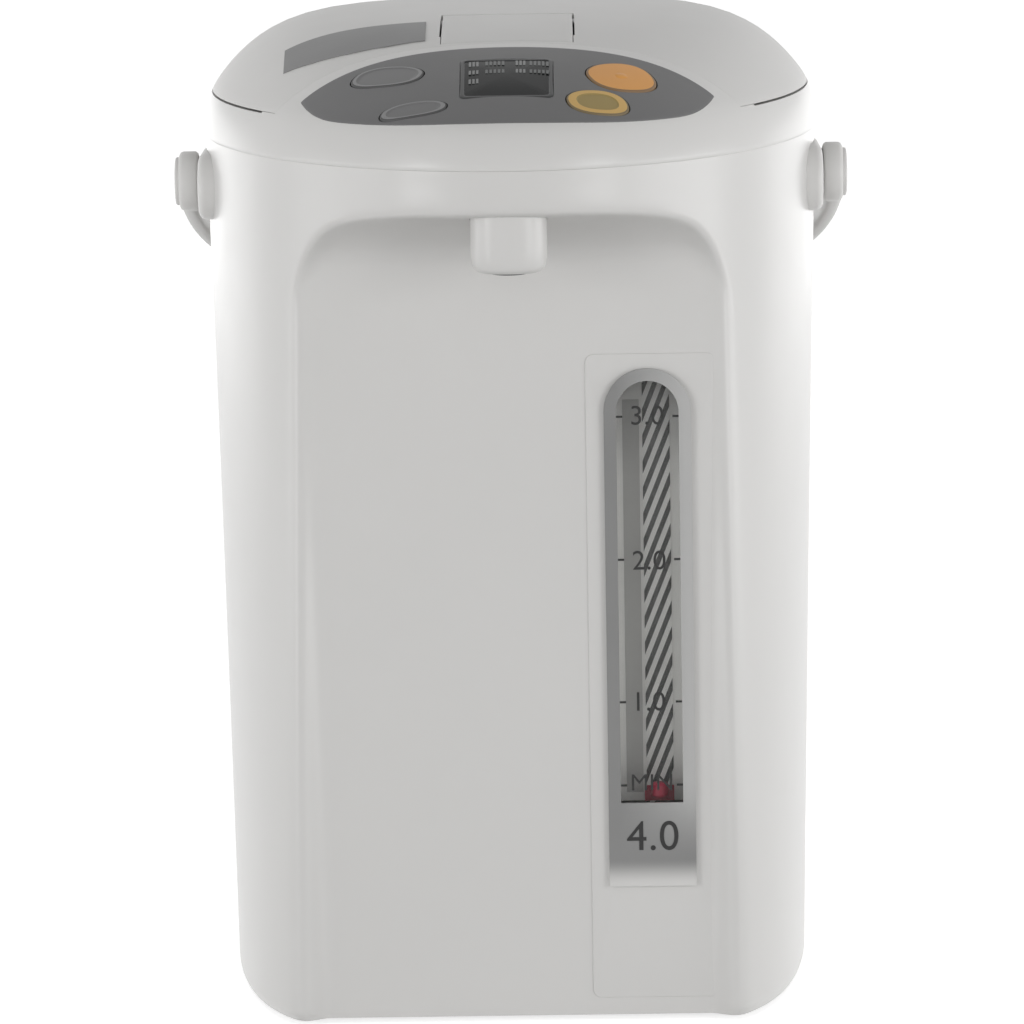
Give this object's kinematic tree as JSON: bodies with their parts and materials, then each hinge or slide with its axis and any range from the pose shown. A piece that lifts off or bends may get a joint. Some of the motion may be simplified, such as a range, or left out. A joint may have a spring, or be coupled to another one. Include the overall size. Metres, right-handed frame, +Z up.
{
  "type": "electric thermo pot",
  "caption": "Upright electric water boiler with hinged lid, sloping control panel, front level gauge, spout under the nose, bail handle and swivel base.",
  "frame": {"origin": "centre of the rest face, on the swivel axis", "axes": "+X to the right, +Y to the back, +Z up; the spout faces -Y"},
  "size_m": [0.2424, 0.3105, 0.342],
  "materials": {
    "white_plastic": "smooth, low gloss",
    "panel_grey": "fine matt",
    "trim_grey": "satin, silver grey",
    "clear_plastic": "clear",
    "scale_plate": "printed plate",
    "display": "dark display under a clear cover",
    "orange_key": "satin orange",
    "gold_key": "satin gold",
    "stainless": "brushed",
    "steel_fastener": "plated",
    "dark_plastic": "matt",
    "pad_rubber": "matt",
    "silicone": "soft",
    "circuit_board": "varnished board",
    "brass_contact": "plain",
    "mica": "mica sheet",
    "label_grey": "matt film"
  },
  "bodies": {
    "stand": {"swivel_base": "dark_plastic", "foot_pads": "pad_rubber", "swivel_clip": "steel_fastener"},
    "pot": {"base_cover": "white_plastic", "base_screws": "steel_fastener", "body_shell": "white_plastic", "gauge_panel": "white_plastic", "gauge_trim": "trim_grey", "gauge_window": "clear_plastic", "gauge_scale": "scale_plate", "level_pipe": "clear_plastic", "tip_valve": "white_plastic", "outlet_pipe": "white_plastic", "spout_cover": "white_plastic", "top_ring": "white_plastic", "front_cover": "white_plastic", "control_panel": "panel_grey", "lcd_window": "display", "lcd_module": "dark_plastic", "switch_board": "circuit_board", "key_switches": "dark_plastic", "mouth_ring": "white_plastic", "inner_container": "stainless", "outer_sleeve": "stainless", "heater": "mica", "heater_clamp": "steel_fastener", "thermostat": "dark_plastic", "thermal_fuse": "brass_contact", "pump_housing": "dark_plastic", "pump_motor": "stainless", "inlet_hose": "silicone", "outlet_hose": "silicone", "power_board": "circuit_board", "power_inlet": "dark_plastic", "inlet_pins": "brass_contact", "left_ear": "white_plastic", "right_ear": "white_plastic", "pivot_pins": "steel_fastener", "hinge_pin": "steel_fastener"},
    "lid": {"lid_cover": "white_plastic", "lid_base": "white_plastic", "lid_inner_plate": "stainless", "lid_gasket": "silicone", "lid_screws": "steel_fastener", "steam_vent": "white_plastic", "hinge_block": "white_plastic", "lid_label": "label_grey", "lever_pin": "steel_fastener", "latch_spring": "steel_fastener"},
    "lever": {"open_lever": "white_plastic"},
    "latch": {"latch": "dark_plastic"},
    "bail": {"handle": "white_plastic", "hub_caps": "white_plastic"},
    "dispense_key": {"dispense_button": "orange_key"},
    "unlock_key": {"unlock_button": "gold_key"},
    "reboil_key": {"reboil_button": "panel_grey"},
    "select_key": {"select_button": "panel_grey"},
    "pump_rotor": {"impeller": "white_plastic"}
  },
  "joints": [
    {"name": "swivel", "type": "hinge", "parent": "stand", "child": "pot", "pos_m": [0, 0, 0.003], "axis": [0, 0, 1], "continuous": true},
    {"name": "lid_hinge", "type": "hinge", "parent": "pot", "child": "lid", "pos_m": [0, 0.1195, 0.309], "axis": [-1, 0, 0], "range_deg": [0, 85]},
    {"name": "lever_lift", "type": "hinge", "parent": "lid", "child": "lever", "pos_m": [0, -0.038, 0.33831], "axis": [-1, 0, 0], "range_deg": [0, 18], "stiffness_Nm_per_rad": 0.3, "springref_deg": -8.59},
    {"name": "latch_draw", "type": "slide", "parent": "lid", "child": "latch", "axis": [0, 1, 0], "range_m": [0, 0.0033], "deforming": ["latch_spring"]},
    {"name": "handle_swing", "type": "hinge", "parent": "pot", "child": "bail", "pos_m": [0, 0, 0.2805], "axis": [1, 0, 0], "range_deg": [0, 112]},
    {"name": "dispense_press", "type": "slide", "parent": "pot", "child": "dispense_key", "axis": [0, 0.4067, -0.9135], "range_m": [0, 0.0008], "stiffness_N_per_m": 900, "springref_m": -0.0006},
    {"name": "unlock_press", "type": "slide", "parent": "pot", "child": "unlock_key", "axis": [0, 0.4067, -0.9135], "range_m": [0, 0.0008], "stiffness_N_per_m": 900, "springref_m": -0.0006},
    {"name": "reboil_press", "type": "slide", "parent": "pot", "child": "reboil_key", "axis": [0, 0.4067, -0.9135], "range_m": [0, 0.0008], "stiffness_N_per_m": 900, "springref_m": -0.0006},
    {"name": "select_press", "type": "slide", "parent": "pot", "child": "select_key", "axis": [0, 0.4067, -0.9135], "range_m": [0, 0.0008], "stiffness_N_per_m": 900, "springref_m": -0.0006},
    {"name": "pump_spin", "type": "hinge", "parent": "pot", "child": "pump_rotor", "pos_m": [0.0493, -0.028, 0.0266], "axis": [0, 0, 1], "continuous": true}
  ],
  "couplings": [
    {"joint": "latch_draw", "follows": "lever_lift", "m_per_rad": 0.01}
  ]
}
